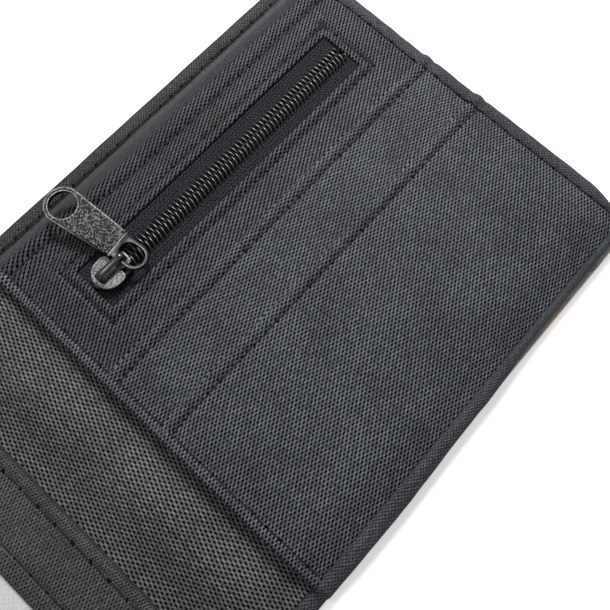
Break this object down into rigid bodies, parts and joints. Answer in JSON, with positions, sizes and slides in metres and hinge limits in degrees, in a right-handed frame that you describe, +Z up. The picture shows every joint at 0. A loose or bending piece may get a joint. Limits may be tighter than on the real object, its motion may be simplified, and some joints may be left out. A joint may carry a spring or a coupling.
{
  "type": "bifold wallet",
  "caption": "Fabric bifold wallet, open flat, with a bill compartment, zip coin pocket, card slots and a clear card window.",
  "frame": {"origin": "middle of the open wallet's footprint, on the surface it lies on", "axes": "+X along the open width to the coin pocket's outer edge, +Y to the bill opening, +Z up out of the inside"},
  "size_m": [0.218, 0.095, 0.009],
  "materials": {
    "printed_shell": "printed nylon with a soft multicolour pattern",
    "panel_weave": "charcoal basket-weave polyester",
    "spine_weave": "charcoal basket-weave polyester, turned a quarter",
    "lining": "smooth ribbed lining",
    "seam_tape": "folded seam, topstitched",
    "board": "stiffener board",
    "zip_tape": "fine herringbone tape",
    "zip_coil": "black nylon coil",
    "zip_metal": "gloss black enamel over die-cast zinc",
    "clear_vinyl": "clear soft vinyl",
    "insert_card": "plain pale card"
  },
  "bodies": {
    "spine": {"spine_shell": "printed_shell", "spine_base": "spine_weave", "spine_lining": "lining", "spine_top_hem": "seam_tape", "spine_bottom_seam": "seam_tape"},
    "right_half": {"right_outer_shell": "printed_shell", "coin_pocket_front": "panel_weave", "card_pocket_upper": "panel_weave", "card_pocket_lower": "panel_weave", "right_turned_edge": "panel_weave", "right_base_panel": "panel_weave", "coin_pocket_top_seam": "panel_weave", "right_shell_lining": "lining", "coin_pocket_back": "lining", "right_top_hem": "seam_tape", "right_side_seam": "seam_tape", "right_bottom_seam": "seam_tape", "right_stiffener": "board", "zip_tape_upper": "zip_tape", "zip_tape_lower": "zip_tape", "zip_coil_upper": "zip_coil", "zip_coil_lower": "zip_coil"},
    "left_half": {"left_outer_shell": "printed_shell", "left_base_panel": "panel_weave", "left_pocket_panel": "panel_weave", "id_frame": "panel_weave", "left_turned_edge": "panel_weave", "left_top_seam": "panel_weave", "left_shell_lining": "lining", "left_top_hem": "seam_tape", "left_side_seam": "seam_tape", "left_bottom_seam": "seam_tape", "left_stiffener": "board", "id_clear_window": "clear_vinyl", "id_insert_card": "insert_card"},
    "zip_slider": {"zip_slider": "zip_metal"},
    "zip_puller": {"zip_puller": "zip_metal"}
  },
  "joints": [
    {"name": "fold_right", "type": "hinge", "parent": "spine", "child": "right_half", "pos_m": [0.00635, 0, 0.0034], "axis": [0, -1, 0], "range_deg": [0, 90]},
    {"name": "fold_left", "type": "hinge", "parent": "spine", "child": "left_half", "pos_m": [-0.00635, 0, 0.0034], "axis": [0, 1, 0], "range_deg": [0, 90]},
    {"name": "zip_slide", "type": "slide", "parent": "right_half", "child": "zip_slider", "axis": [1, 0, 0], "range_m": [0, 0.0625]},
    {"name": "puller_swivel", "type": "hinge", "parent": "zip_slider", "child": "zip_puller", "pos_m": [0.03105, 0.0248, 0.0075], "axis": [0, 0, -1], "range_deg": [0, 175]}
  ],
  "couplings": [
    {"joint": "fold_left", "follows": "fold_right", "ratio": 1}
  ]
}
